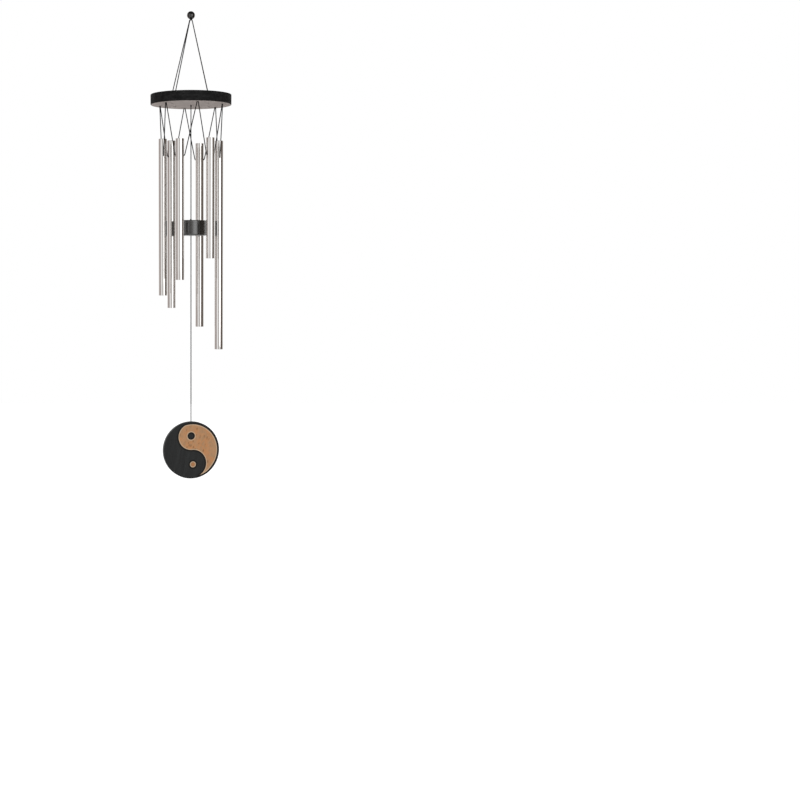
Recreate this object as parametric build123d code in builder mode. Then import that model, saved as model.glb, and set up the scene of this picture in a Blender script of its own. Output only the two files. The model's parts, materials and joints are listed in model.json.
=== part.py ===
from build123d import *

import os
from math import acos, atan, cos, degrees, pi, radians, sin, sqrt, tan

# A wind chime. Six metal tubes hang on loops of cord under a round wooden disc. A round
# striker hangs between them, and a round sail with an inlaid yin-yang hangs below it.
# The origin is the centre of the ball that the chime hangs from, +Z is up, -Y is the front.

# Driving dimensions, in millimetres and degrees

CLEARANCE = 0.3  # between pieces that turn or swing on one another

CORD_DIAMETER = 1.4
CORD_SIDES = 6  # the cords are drawn with flat sides,
KNOT_SIDES = 8  # and so are the knots and the holes in the disc
LOOP_BEND_RADIUS = 1.4  # centre line of a loop where it leaves its tube
EDGE_BEND_RADIUS = 3.0  # centre line of a suspension cord over the edge of its hole
KNOT_HEIGHT = 2.4
KNOT_RIM = 0.6  # how far a stop knot's flat face reaches past its hole
KNOT_BULGE = 0.4  # how far it swells past that face
KNOT_CROWN = 0.9  # how far its far end is drawn in
KNOT_TAIL = 1.2
KNOT_RECESS_DEPTH = 4.2  # of the round recesses that the knots lie in, in the disc
PIVOT_KNOT_HEIGHT = 0.9  # shares of a pivot knot's diameter
PIVOT_KNOT_WIDTH = 0.92
PIVOT_KNOT_CHAMFER = 0.22

BALL_DIAMETER = 12.0
HANGING_NECK_DIAMETER = 2.4  # the bundle of cord ends that runs up through the ball
HANGING_KNOT_DIAMETER = 3.8
HANGING_KNOT_SHOWING = 1.3  # below the ball
BALL_FLOOR_HEIGHT = 1.4  # floor of the ball's upper recess, above its centre
STRAND_START_ANGLE = 36.0  # below the horizontal, round the hanging knot

DISC_DIAMETER = 122.0
DISC_THICKNESS = 15.2
DISC_DROP = 117.5  # from the ball's centre to the disc's top
DISC_EDGE = 0.8
SUSPENSION_CIRCLE = 71.2
SUSPENSION_ANGLES = (40.0, 135.0, 218.5, 315.0)
LOOP_CIRCLE = 99.2
FIRST_LOOP_ANGLE = -18.5

TUBE_DIAMETER = 12.7
TUBE_WALL = 1.25
TUBE_LENGTHS = (316.5, 282.0, 256.0, 235.0, 209.0, 179.0)
TUBE_DROPS = (52.8, 54.0, 50.6, 51.5, 53.5, 51.5)  # from the disc's underside
TUBE_SHIFTS = (0.0, 0.5, 1.9, 0.0, -2.9, 0.0)  # along the loop, off its middle
TUBE_HOLE_DEPTH = 25.0  # from the tube's top to its cross hole

STRIKER_DIAMETER = 46.8
STRIKER_THICKNESS = 23.2
STRIKER_DROP = 172.9  # from the disc's underside to the striker's top
STRIKER_TOP_EDGE = 1.0
STRIKER_BOTTOM_EDGE = 2.5
STRIKER_RECESS_DEPTH = 7.5
CENTRE_KNOT_DIAMETER = 2.0
SAIL_KNOT_DIAMETER = 3.0

SAIL_DIAMETER = 88.0
SAIL_THICKNESS = 8.0
SAIL_DROP = 284.0  # from the striker's underside to the sail's top
SAIL_TURN = 15.0
SAIL_EDGE = 0.6
SAIL_BORE_DEPTH = 14.0

SYMBOL_DIAMETER = 82.8
SYMBOL_TURN = 3.5
SYMBOL_SHIFT = 0.7
EYE_DIAMETER = 10.5
EYE_OFFSET = 22.1
TAIL_TIP = 0.6  # width of the wood at its blunt tail end
INLAY_DEPTH = 1.0
INLAY_GAP = 0.15

# Sizes that follow

cord_radius = CORD_DIAMETER / 2
cord_hole_radius = cord_radius + CLEARANCE
strand_offset = cord_radius + CLEARANCE / 2
pair_hole_radius = strand_offset + cord_radius + CLEARANCE
knot_radius = cord_hole_radius + KNOT_RIM + KNOT_BULGE
pair_knot_radius = pair_hole_radius + KNOT_RIM + KNOT_BULGE

hanging_knot_radius = HANGING_KNOT_DIAMETER / 2
ball_recess_radius = hanging_knot_radius + CLEARANCE
hanging_knot_height = -BALL_DIAMETER / 2 - HANGING_KNOT_SHOWING + hanging_knot_radius
hanging_neck_bottom = hanging_knot_height + hanging_knot_radius + CLEARANCE
stopper_height = BALL_FLOOR_HEIGHT + CLEARANCE + hanging_knot_radius
strand_start = hanging_knot_radius + CLEARANCE + cord_radius

disc_top = -DISC_DROP
disc_bottom = disc_top - DISC_THICKNESS
tube_count = len(TUBE_LENGTHS)
loop_angle = 360 / tube_count
half_angle = radians(loop_angle / 2)
leg_radius = LOOP_CIRCLE / 2 * cos(half_angle) + strand_offset * sin(half_angle)
leg_spread = LOOP_CIRCLE / 2 * sin(half_angle) - strand_offset * cos(half_angle)
strand_bottom = disc_bottom + cord_radius + CLEARANCE
upper_seat = disc_top - KNOT_RECESS_DEPTH
lower_seat = disc_bottom + KNOT_RECESS_DEPTH

centre_knot_height = disc_bottom - CLEARANCE - CENTRE_KNOT_DIAMETER / 2
striker_cord_top = centre_knot_height - CENTRE_KNOT_DIAMETER / 2 - CLEARANCE
striker_top = disc_bottom - STRIKER_DROP
striker_bottom = striker_top - STRIKER_THICKNESS
striker_seat = striker_bottom + STRIKER_RECESS_DEPTH
striker_recess_radius = max(knot_radius, SAIL_KNOT_DIAMETER / 2) + 3 * CLEARANCE
sail_knot_height = striker_seat - KNOT_HEIGHT - CLEARANCE - SAIL_KNOT_DIAMETER / 2
sail_cord_top = sail_knot_height - SAIL_KNOT_DIAMETER / 2 - CLEARANCE
sail_top = striker_bottom - SAIL_DROP
sail_bore_floor = sail_top - SAIL_BORE_DEPTH
sail_height = sail_top - SAIL_DIAMETER / 2


def radial(angle):
    """The level direction that points away from the chime's axis at an angle."""
    return Vector(cos(radians(angle)), sin(radians(angle)), 0)


def stop_knot(hole_radius, seat, side, tail):
    """A tied knot on the Z axis. Its flat face seats round a hole at the height `seat`, and
    it points up where `side` is 1 and down where it is -1. `tail` is its free end."""
    with BuildPart() as knot:
        with BuildSketch(Plane.XY.offset(seat)):
            RegularPolygon(hole_radius + KNOT_RIM + KNOT_BULGE, KNOT_SIDES)
        extrude(amount=side * KNOT_HEIGHT)
        ends = knot.faces().sort_by(Axis.Z)[::side]
        chamfer(ends[0].edges(), KNOT_BULGE)
        chamfer(ends[-1].edges(), KNOT_CROWN)
        if tail:
            with BuildSketch(Plane.XY.offset(seat + side * KNOT_HEIGHT)):
                RegularPolygon(cord_radius, CORD_SIDES)
            extrude(amount=side * tail)
    return knot.part


def pivot_knot(diameter, height):
    """A knot that a cord swings on. It stays inside a ball of its own diameter."""
    with BuildPart() as knot:
        with BuildSketch(Plane.XY.offset(height)):
            RegularPolygon(diameter * PIVOT_KNOT_WIDTH / 2, KNOT_SIDES)
        extrude(amount=diameter * PIVOT_KNOT_HEIGHT / 2, both=True)
        ends = knot.faces().sort_by(Axis.Z)
        chamfer(ends[0].edges() + ends[-1].edges(), diameter * PIVOT_KNOT_CHAMFER)
    return knot.part


def upright_cord(top, bottom):
    """A straight cord on the Z axis between two heights."""
    with BuildPart() as cord:
        with BuildSketch(Plane.XY.offset(bottom)):
            RegularPolygon(cord_radius, CORD_SIDES)
        extrude(amount=top - bottom)
    return cord.part


def report_cord(name, part, length, radii):
    """Prints a cord's bend radii, and its volume beside its section times its length."""
    section = CORD_SIDES / 2 * sin(2 * pi / CORD_SIDES) * cord_radius**2
    print(f"{name}: radii {radii}, volume {part.volume:.1f}, section x length {section * length:.1f}")


os.makedirs("parts", exist_ok=True)

# The ball, with a recess above for the stopper and one below for the hanging knot

with BuildPart() as hanging_ball:
    Sphere(BALL_DIAMETER / 2)
    Hole(HANGING_NECK_DIAMETER / 2 + CLEARANCE)
    with BuildSketch(Plane.XY.offset(BALL_FLOOR_HEIGHT)):
        Circle(ball_recess_radius)
    extrude(amount=BALL_DIAMETER, mode=Mode.SUBTRACT)
    with BuildSketch(Plane.XY.offset(hanging_neck_bottom)):
        Circle(ball_recess_radius)
    extrude(amount=-BALL_DIAMETER, mode=Mode.SUBTRACT)

hanging_ball.part.label = "hanging_ball"
export_step(hanging_ball.part, "parts/hanging_ball.step")

# The bundle of cord in the ball, held up by its stopper, and the knot that the cords swing on

with BuildPart() as hanging_cord:
    with BuildSketch(Plane.XY.offset(hanging_neck_bottom)):
        RegularPolygon(HANGING_NECK_DIAMETER / 2, KNOT_SIDES)
    extrude(amount=stopper_height - hanging_neck_bottom)
    add(pivot_knot(HANGING_KNOT_DIAMETER, stopper_height))

hanging_cord.part.label = "hanging_cord"
export_step(hanging_cord.part, "parts/hanging_cord.step")

with BuildPart() as hanging_knot:
    add(pivot_knot(HANGING_KNOT_DIAMETER, hanging_knot_height))

hanging_knot.part.label = "hanging_knot"
export_step(hanging_knot.part, "parts/hanging_knot.step")

# Four cords from the hanging knot through the disc, each with a stop knot in a recess below

suspension_knot = stop_knot(cord_hole_radius, lower_seat, -1, KNOT_TAIL)
strand_radius = strand_start * cos(radians(STRAND_START_ANGLE))
strand_top = hanging_knot_height - strand_start * sin(radians(STRAND_START_ANGLE))

for number, angle in enumerate(SUSPENSION_ANGLES, 1):
    upright = Plane(origin=(0, 0, 0), x_dir=radial(angle), z_dir=radial(angle - 90))
    with BuildPart() as suspension_cord:
        with BuildLine(upright) as route:
            FilletPolyline(
                (strand_radius, strand_top),
                (SUSPENSION_CIRCLE / 2, disc_top),
                (SUSPENSION_CIRCLE / 2, lower_seat),
                radius=EDGE_BEND_RADIUS,
            )
        with BuildSketch(Plane(origin=route.wire() @ 0, z_dir=route.wire() % 0)):
            RegularPolygon(cord_radius, CORD_SIDES)
        sweep(path=route.wire())
        name = f"suspension_cord_{number}"
        report_cord(name, suspension_cord.part, route.wire().length, [EDGE_BEND_RADIUS])
        with Locations(radial(angle) * SUSPENSION_CIRCLE / 2):
            add(suspension_knot)
    suspension_cord.part.label = name
    export_step(suspension_cord.part, f"parts/{name}.step")

# The wooden disc, with its holes for the suspension cords, the loops and the centre cord.
# The knots of the suspension cords lie in recesses below, and the others in recesses on top.

with BuildPart() as top_disc:
    with BuildSketch(Plane.XY.offset(disc_bottom)):
        Circle(DISC_DIAMETER / 2)
    extrude(amount=DISC_THICKNESS)
    chamfer(top_disc.edges().filter_by(GeomType.CIRCLE), DISC_EDGE)
    with BuildSketch(Plane.XY.offset(disc_bottom)):
        RegularPolygon(cord_hole_radius, KNOT_SIDES, major_radius=False)
        with Locations(*[radial(angle) * SUSPENSION_CIRCLE / 2 for angle in SUSPENSION_ANGLES]):
            RegularPolygon(cord_hole_radius, KNOT_SIDES, major_radius=False)
        with PolarLocations(LOOP_CIRCLE / 2, tube_count, FIRST_LOOP_ANGLE):
            RegularPolygon(pair_hole_radius, KNOT_SIDES, major_radius=False)
    extrude(amount=DISC_THICKNESS, mode=Mode.SUBTRACT)
    with BuildSketch(Plane.XY.offset(disc_bottom)):
        with Locations(*[radial(angle) * SUSPENSION_CIRCLE / 2 for angle in SUSPENSION_ANGLES]):
            RegularPolygon(knot_radius + CLEARANCE, KNOT_SIDES)
    extrude(amount=KNOT_RECESS_DEPTH, mode=Mode.SUBTRACT)
    with BuildSketch(Plane.XY.offset(disc_top)):
        RegularPolygon(knot_radius + CLEARANCE, KNOT_SIDES)
        with PolarLocations(LOOP_CIRCLE / 2, tube_count, FIRST_LOOP_ANGLE):
            RegularPolygon(pair_knot_radius + CLEARANCE, KNOT_SIDES)
    extrude(amount=-KNOT_RECESS_DEPTH, mode=Mode.SUBTRACT)

top_disc.part.label = "top_disc"
export_step(top_disc.part, "parts/top_disc.step")

# A knot over each loop hole, with the two cord ends that come up to it

with BuildPart() as tube_cord_anchors:
    with BuildSketch(Plane.XY.offset(strand_bottom)):
        with PolarLocations(LOOP_CIRCLE / 2, tube_count, FIRST_LOOP_ANGLE):
            with Locations((0, strand_offset), (0, -strand_offset)):
                RegularPolygon(cord_radius, CORD_SIDES)
    extrude(amount=upper_seat - strand_bottom)
    with PolarLocations(LOOP_CIRCLE / 2, tube_count, FIRST_LOOP_ANGLE):
        add(stop_knot(pair_hole_radius, upper_seat, 1, KNOT_TAIL))

tube_cord_anchors.part.label = "tube_cord_anchors"
export_step(tube_cord_anchors.part, "parts/tube_cord_anchors.step")

# The knot over the centre hole, with its cord down to the disc's underside

with BuildPart() as striker_cord_anchor:
    add(upright_cord(upper_seat, disc_bottom))
    add(stop_knot(cord_hole_radius, upper_seat, 1, KNOT_TAIL))

striker_cord_anchor.part.label = "striker_cord_anchor"
export_step(striker_cord_anchor.part, "parts/striker_cord_anchor.step")

# Each loop comes down from two neighbouring holes and goes through its tube, side to side

for index in range(tube_count):
    angle = FIRST_LOOP_ANGLE + (index + 0.5) * loop_angle
    shift = TUBE_SHIFTS[index]
    hole_drop = TUBE_DROPS[index] + TUBE_HOLE_DEPTH
    loop_plane = Plane(
        origin=radial(angle) * leg_radius + Vector(0, 0, disc_bottom),
        x_dir=radial(angle + 90),
        z_dir=radial(angle),
    )
    lean = atan((leg_spread - TUBE_DIAMETER / 2) / hole_drop)
    corner = TUBE_DIAMETER / 2 + LOOP_BEND_RADIUS * tan((pi / 2 - lean) / 2)

    with BuildPart() as tube_cord:
        with BuildLine(loop_plane) as route:
            FilletPolyline(
                (-leg_spread, 0),
                (shift - corner, -hole_drop),
                (shift + corner, -hole_drop),
                (leg_spread, 0),
                radius=[LOOP_BEND_RADIUS, LOOP_BEND_RADIUS],
            )
        with BuildSketch(Plane(origin=route.wire() @ 0, z_dir=route.wire() % 0)):
            RegularPolygon(cord_radius, CORD_SIDES)
        sweep(path=route.wire())
        name = f"tube_cord_{index + 1}"
        report_cord(name, tube_cord.part, route.wire().length, [LOOP_BEND_RADIUS] * 2)
    tube_cord.part.label = name
    export_step(tube_cord.part, f"parts/{name}.step")

    foot = loop_plane.from_local_coords((shift, -TUBE_DROPS[index] - TUBE_LENGTHS[index], 0))
    cross_hole = loop_plane.from_local_coords((shift, -hole_drop, 0))
    with BuildPart() as tube:
        with BuildSketch(Plane(origin=foot)):
            Circle(TUBE_DIAMETER / 2)
        extrude(amount=TUBE_LENGTHS[index])
        with Locations(foot):
            Hole(TUBE_DIAMETER / 2 - TUBE_WALL)
        with Locations(Plane(origin=cross_hole, z_dir=loop_plane.x_dir)):
            Hole(cord_hole_radius, TUBE_DIAMETER)
    tube.part.label = f"tube_{index + 1}"
    export_step(tube.part, f"parts/tube_{index + 1}.step")

# The striker hangs from a knot under the disc, on a cord knotted above and below it

with BuildPart() as centre_knot:
    add(pivot_knot(CENTRE_KNOT_DIAMETER, centre_knot_height))

centre_knot.part.label = "centre_knot"
export_step(centre_knot.part, "parts/centre_knot.step")

with BuildPart() as striker_cord:
    add(upright_cord(striker_cord_top, striker_seat))
    add(stop_knot(cord_hole_radius, striker_top, 1, 0))
    add(stop_knot(cord_hole_radius, striker_seat, -1, 0))

striker_cord.part.label = "striker_cord"
export_step(striker_cord.part, "parts/striker_cord.step")

with BuildPart() as striker:
    with BuildSketch(Plane.XY.offset(striker_bottom)):
        Circle(STRIKER_DIAMETER / 2)
    extrude(amount=STRIKER_THICKNESS)
    rims = striker.edges().filter_by(GeomType.CIRCLE).sort_by(Axis.Z)
    chamfer(rims[0], STRIKER_BOTTOM_EDGE)
    chamfer(rims[-1], STRIKER_TOP_EDGE)
    with Locations((0, 0, striker_bottom)):
        Hole(striker_recess_radius, STRIKER_RECESS_DEPTH)
        Hole(cord_hole_radius)

striker.part.label = "striker"
export_step(striker.part, "parts/striker.step")

# The sail's cord hangs from a knot in the striker's recess and ends in the sail's bore

with BuildPart() as sail_knot:
    add(pivot_knot(SAIL_KNOT_DIAMETER, sail_knot_height))

sail_knot.part.label = "sail_knot"
export_step(sail_knot.part, "parts/sail_knot.step")

with BuildPart() as sail_cord:
    add(upright_cord(sail_cord_top, sail_bore_floor + CLEARANCE))

sail_cord.part.label = "sail_cord"
export_step(sail_cord.part, "parts/sail_cord.step")


def wood_outline(gap):
    """The pale half of the symbol: a comma with its head above and its tail below, bounded
    by the symbol's circle and by two half circles of half its size. `gap` draws every side
    in, and the tail is cut off square where it has thinned to its blunt tip."""
    outer = SYMBOL_DIAMETER / 2 - gap
    lobe = SYMBOL_DIAMETER / 4
    tip = acos(1 - (TAIL_TIP + 2 * gap) / (2 * lobe))
    tip_reach = lobe * cos(tip) + sqrt((lobe + gap) ** 2 - (lobe * sin(tip)) ** 2)
    crown = (0, outer)
    middle = (0, gap)
    tip_outside = (outer * sin(tip), -outer * cos(tip))
    tip_inside = (tip_reach * sin(tip), -tip_reach * cos(tip))
    with BuildSketch() as outline:
        with BuildLine():
            ThreePointArc(crown, (outer, 0), tip_outside)
            Line(tip_outside, tip_inside)
            ThreePointArc(tip_inside, (lobe + gap, -lobe), middle)
            ThreePointArc(middle, (gap - lobe, lobe), crown)
        make_face()
    return outline.sketch


# The sail, and the pale comma and eye let into its front. The black eye is left standing in
# the comma's pocket.

sail_plane = Plane(
    origin=(0, 0, sail_height),
    x_dir=radial(SAIL_TURN),
    z_dir=radial(SAIL_TURN - 90),
)
symbol_plane = Plane(
    origin=sail_plane.from_local_coords((SYMBOL_SHIFT, 0, SAIL_THICKNESS / 2)),
    x_dir=sail_plane.x_dir.rotate(Axis((0, 0, 0), sail_plane.z_dir), SYMBOL_TURN),
    z_dir=sail_plane.z_dir,
)

with BuildPart() as sail_disc:
    with BuildSketch(sail_plane.offset(-SAIL_THICKNESS / 2)):
        Circle(SAIL_DIAMETER / 2)
    extrude(amount=SAIL_THICKNESS)
    chamfer(sail_disc.edges().filter_by(GeomType.CIRCLE), SAIL_EDGE)
    with Locations((0, 0, sail_top)):
        Hole(cord_hole_radius, SAIL_BORE_DEPTH)
    with BuildSketch(symbol_plane):
        add(wood_outline(0))
        with Locations((0, EYE_OFFSET)):
            Circle(EYE_DIAMETER / 2, mode=Mode.SUBTRACT)
        with Locations((0, -EYE_OFFSET)):
            Circle(EYE_DIAMETER / 2)
    extrude(amount=-INLAY_DEPTH, mode=Mode.SUBTRACT)

sail_disc.part.label = "sail_disc"
export_step(sail_disc.part, "parts/sail_disc.step")

with BuildPart() as pale_comma:
    with BuildSketch(symbol_plane):
        add(wood_outline(INLAY_GAP))
        with Locations((0, EYE_OFFSET)):
            Circle(EYE_DIAMETER / 2 + INLAY_GAP, mode=Mode.SUBTRACT)
    extrude(amount=-INLAY_DEPTH)

pale_comma.part.label = "pale_comma"
export_step(pale_comma.part, "parts/pale_comma.step")

with BuildPart() as pale_eye:
    with BuildSketch(symbol_plane):
        with Locations((0, -EYE_OFFSET)):
            Circle(EYE_DIAMETER / 2 - INLAY_GAP)
    extrude(amount=-INLAY_DEPTH)

pale_eye.part.label = "pale_eye"
export_step(pale_eye.part, "parts/pale_eye.step")

print(f"tube angles {[FIRST_LOOP_ANGLE + (i + 0.5) * loop_angle for i in range(tube_count)]}")
print(f"leg radius {leg_radius:.3f}, leg spread {leg_spread:.3f}, half angle {degrees(half_angle):.1f}")
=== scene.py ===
"""A wind chime, dressed on its fixed frame: braided cords, tied knots, drawn metal tubes, a
black wooden disc and striker, and a sail with an inlaid yin-yang."""

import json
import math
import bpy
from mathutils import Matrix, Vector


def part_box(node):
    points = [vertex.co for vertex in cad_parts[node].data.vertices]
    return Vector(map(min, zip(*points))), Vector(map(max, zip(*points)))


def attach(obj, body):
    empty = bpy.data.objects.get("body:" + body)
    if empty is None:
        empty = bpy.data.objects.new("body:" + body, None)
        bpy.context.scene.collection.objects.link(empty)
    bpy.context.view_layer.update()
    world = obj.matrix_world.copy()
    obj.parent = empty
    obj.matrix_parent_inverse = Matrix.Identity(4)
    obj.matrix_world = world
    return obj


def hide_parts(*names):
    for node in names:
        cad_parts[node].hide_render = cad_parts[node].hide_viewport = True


bl_info = {
    "name": "Wind Chime",
    "version": (1, 0, 0),
    "blender": (4, 5, 0),
    "location": "3D Viewport > Sidebar > Wind Chime",
    "description": "Dresses a wind chime of six tubes, a striker and a wooden sail",
    "category": "Object",
}

import bmesh
import bpy
import numpy as np
from bpy.props import FloatProperty, FloatVectorProperty, IntProperty, PointerProperty
from mathutils import Matrix, Vector
from mathutils.geometry import delaunay_2d_cdt

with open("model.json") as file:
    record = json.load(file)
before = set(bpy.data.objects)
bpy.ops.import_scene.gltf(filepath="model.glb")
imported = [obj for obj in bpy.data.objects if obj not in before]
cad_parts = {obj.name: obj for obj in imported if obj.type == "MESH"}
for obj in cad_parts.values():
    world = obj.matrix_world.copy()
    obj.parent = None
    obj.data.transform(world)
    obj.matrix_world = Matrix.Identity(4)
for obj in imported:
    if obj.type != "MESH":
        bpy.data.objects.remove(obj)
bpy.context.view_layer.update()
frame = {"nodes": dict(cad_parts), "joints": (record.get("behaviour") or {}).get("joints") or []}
joints = {joint["name"]: joint for joint in frame["joints"]}

# Places from the frame, in metres. The origin is the centre of the ball.

UP = np.array((0.0, 0.0, 1.0))
TUBE_NUMBERS = range(1, 7)
disc_low, disc_high = (np.array(corner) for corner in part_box("top_disc"))
disc_bottom, disc_top = disc_low[2], disc_high[2]
disc_radius = (disc_high[0] - disc_low[0]) / 2
striker_low, striker_high = (np.array(corner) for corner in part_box("striker"))
striker_bottom, striker_top = striker_low[2], striker_high[2]
striker_radius = (striker_high[0] - striker_low[0]) / 2
sail_bottom, sail_top = (corner[2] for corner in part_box("sail_disc"))
sail_radius = (sail_top - sail_bottom) / 2
hanging_pivot = np.array(joints["hang_swing_x"]["pos_m"])
centre_pivot = np.array(joints["striker_swing_x"]["pos_m"])
sail_pivot = np.array(joints["sail_swing_x"]["pos_m"])

# The cords' routes, as the frame has them, in metres and degrees

SUSPENSION_RADIUS = 0.0356
SUSPENSION_ANGLES = (40.0, 135.0, 218.5, 315.0)
STRAND_START = (0.002346, -0.007105)  # out from the axis, and height
LEG_SPREAD = 0.024064  # from the middle of a loop to each of its ends
LOOP_CORNER = 0.00747  # from the tube's axis to where a loop turns into its hole
LOOP_HOLE_POINT = 0.0056
EDGE_REACH = 0.0084  # a route's extra point on a long stretch, before a corner
LOOP_HOLE_RADIUS = 0.0496
LOOP_ANGLES = [60.0 * index - 18.5 for index in range(6)]
striker_seat = striker_bottom + 0.0075
striker_cord_top = centre_pivot[2] - 0.0013
sail_cord_top = sail_pivot[2] - 0.0018
sail_cord_end = sail_top - 0.0137

# The knots' recesses in the disc, and the holes in it

KNOT_RECESS_DEPTH = 0.0042
KNOT_RECESS_RADIUS = 0.0022
PAIR_RECESS_RADIUS = 0.00305
CORD_HOLE_RADIUS = 0.001
PAIR_HOLE_RADIUS = 0.00185
PAIR_OFFSET = 0.00085  # of the two cord ends in a hole, from its middle
STRIKER_RECESS_RADIUS = 0.0029
upper_seat = disc_top - KNOT_RECESS_DEPTH
lower_seat = disc_bottom + KNOT_RECESS_DEPTH

# The knots: each one's width and height, and the radius of the cord in it

STOP_KNOT = (0.0039, 0.0026, 0.00062)
UPPER_KNOT = (0.003, 0.0021, 0.0005)
CENTRE_BEND = (0.0022, 0.00255, 0.00048)
SAIL_BEND = (0.0029, 0.0032, 0.0006)
LOOP_KNOTS = ((0.0054, 0.0028, 0.00068), (0.0042, 0.003, 0.00068))
STOPPER_KNOTS = ((0.0037, 0.003, 0.0006), (0.0034, 0.0033, 0.0006))
HANGING_KNOTS = ((0.0037, 0.0032, 0.0006), (0.0034, 0.0034, 0.0006))
STOPPER_DROP = 0.0017  # from the top of the bundle to the middle of its knot
STRANDS_DROP = 0.002  # and to the top of its strands
KNOT_RELIEF = 0.06
HOLE_STRAND_RADIUS = 0.00066  # of a cord where it shows in its hole
TAIL_RADIUS = 0.00062
PAIR_TAIL_RADIUS = 0.00064
UNDER_TAIL = (0.0012, 0.0034)  # the two ends of a knot's tail, from the knot's seat
CENTRE_TAIL = (0.001, 0.0034)
PAIR_TAIL = (0.002, 0.0035)
PAIR_STRAND = (0.0004, 0.0006)  # from the disc's underside, and past the knots' seat
STRAND_END = (0.0004, -0.0013)  # in the hanging knot: out from its pivot, and up
STRAND_OVERLAP = 0.0016  # how far that end runs on along its cord

# The sail's symbol

SAIL_TURN = 15.0
SYMBOL_TURN = 3.5
SYMBOL_SHIFT = 0.0007
SYMBOL_RADIUS = 0.0414
EYE_RADIUS = 0.00525
EYE_OFFSET = 0.0221
SAIL_THICKNESS = 0.008
RIM_BORDER = 0.0009  # how much wider the painted edge is along the sail's rim
OUTLINE_COLOUR = (0.004, 0.0032, 0.0028, 1.0)

# The studio, in metres

LAMP_PLACE = (1.49, -2.13, 0.0)
LAMP_TARGET = (0.0, 0.0, -0.35)
LAMP_SIZE = 2.3
FLOOR_REACH = 14.0
SCREEN_DISTANCE = 1.7
SCREEN_BOTTOM, SCREEN_TOP = -1.7, 1.1
CEILING_REACH, CEILING_HEIGHT = 2.9, 1.9


# Settings


def length(name, description, default):
    """A setting that is a length."""
    return FloatProperty(name=name, description=description, default=default, unit="LENGTH")


def tint(name, description, default):
    """A setting that is a colour."""
    return FloatVectorProperty(
        name=name, description=description, default=default, size=3, subtype="COLOR"
    )


class ChimeCordSettings(bpy.types.PropertyGroup):
    """Sizes and colour of the braided cord."""

    diameter: length("Diameter", "Across the cord", 0.0014)
    stitch: length("Stitch", "Length of half a stitch of the braid", 0.0005)
    relief: FloatProperty(
        name="Relief",
        description="How far a stitch stands out, as a share of the radius",
        default=0.08,
        subtype="FACTOR",
    )
    colour: tint("Colour", "Dyed fibre", (0.012, 0.012, 0.013))


class ChimeTubeSettings(bpy.types.PropertyGroup):
    """Sizes and colours of the tubes."""

    diameter: length("Diameter", "Outside", 0.0127)
    wall: length("Wall", "Thickness", 0.00125)
    hole_radius: length("Hole radius", "Radius of the cross hole", 0.001)
    rim_radius: length("Rim radius", "Rounding of the cut ends", 0.00028)
    burr: length("Hole edge", "Rounding of the cross hole", 0.00015)
    columns: IntProperty(name="Columns", description="Faces round a tube", default=72)
    bright: tint("Bright metal", "Polished", (0.84, 0.83, 0.82))
    dull: tint("Dull lines", "Drawn lines", (0.66, 0.63, 0.6))


class ChimeWoodSettings(bpy.types.PropertyGroup):
    """Edges and colours of the wooden pieces."""

    disc_edge: length("Disc edge", "Rounding of the disc's rim", 0.0008)
    striker_edge: length("Striker edge", "Rounding of its upper rim", 0.001)
    striker_foot: length("Striker foot", "Rounding of its lower rim", 0.0025)
    stain: tint("Stain", "Black stain", (0.0085, 0.0085, 0.0085))
    paint: tint("Sail's black", "Black paint", (0.0145, 0.0155, 0.0155))
    bare: tint("Bare wood", "Unstained underside", (0.44, 0.385, 0.358))
    inlay: tint("Inlay", "Pale wood", (0.425, 0.228, 0.112))


class ChimeBallSettings(bpy.types.PropertyGroup):
    """Finish of the ball."""

    lacquer: tint("Lacquer", "Black lacquer", (0.002, 0.002, 0.002))


class ChimeStageSettings(bpy.types.PropertyGroup):
    """The camera, the floor and the lights."""

    lens: FloatProperty(name="Lens", description="Focal length, in millimetres", default=63.0)
    place: FloatVectorProperty(
        name="Camera", description="Camera's place", subtype="XYZ", default=(0.00059, -2.13929, -0.36925)
    )
    pitch: FloatProperty(name="Pitch", description="Camera's pitch, in degrees", default=-4.962)
    shift: FloatVectorProperty(
        name="Shift", description="The frame's place beside the chime", size=2, default=(0.2608, -0.02)
    )
    floor_drop: length("Floor", "From the sail down to the floor", 1.3)
    daylight: FloatProperty(name="Daylight", description="Strength of the white room", default=0.8)
    lamp: FloatProperty(name="Lamp", description="Power of the soft lamp", default=18.0, unit="POWER")


# Shapes. A shape is its points and its faces.


def radial(angle):
    """The level direction away from the chime's axis at an angle in degrees."""
    return np.array((math.cos(math.radians(angle)), math.sin(math.radians(angle)), 0.0))


def unit(vectors):
    """Vectors divided by their lengths."""
    return vectors / np.linalg.norm(vectors, axis=-1, keepdims=True)


def once_round(columns):
    """Even steps of a full turn."""
    return 2 * np.pi * np.arange(columns) / columns


def grid_faces(rows, columns, closed=False):
    """The four-sided faces of a grid of points that is closed across its columns, and across
    its rows too where `closed` is set."""
    row, column = np.indices((rows if closed else rows - 1, columns))
    above, following = (row + 1) % rows, (column + 1) % columns
    corners = ((row, column), (row, following), (above, following), (above, column))
    return np.stack([level * columns + side for level, side in corners], axis=-1)


def surface(rings):
    """An open surface of rings, each closed on itself."""
    rows, columns, _ = rings.shape
    return rings.reshape(-1, 3), grid_faces(rows, columns).reshape(-1, 4).tolist()


def closed_tube(rings):
    """A surface of rings with a point at each end that closes it."""
    rows, columns, _ = rings.shape
    points, faces = surface(rings)
    edge = np.arange(columns)
    following = (edge + 1) % columns
    last, low = (rows - 1) * columns, rows * columns
    faces += np.stack([following, edge, np.full(columns, low)], axis=-1).tolist()
    faces += np.stack([last + edge, last + following, np.full(columns, low + 1)], axis=-1).tolist()
    return np.vstack([points, rings[0].mean(axis=0), rings[-1].mean(axis=0)]), faces


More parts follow.
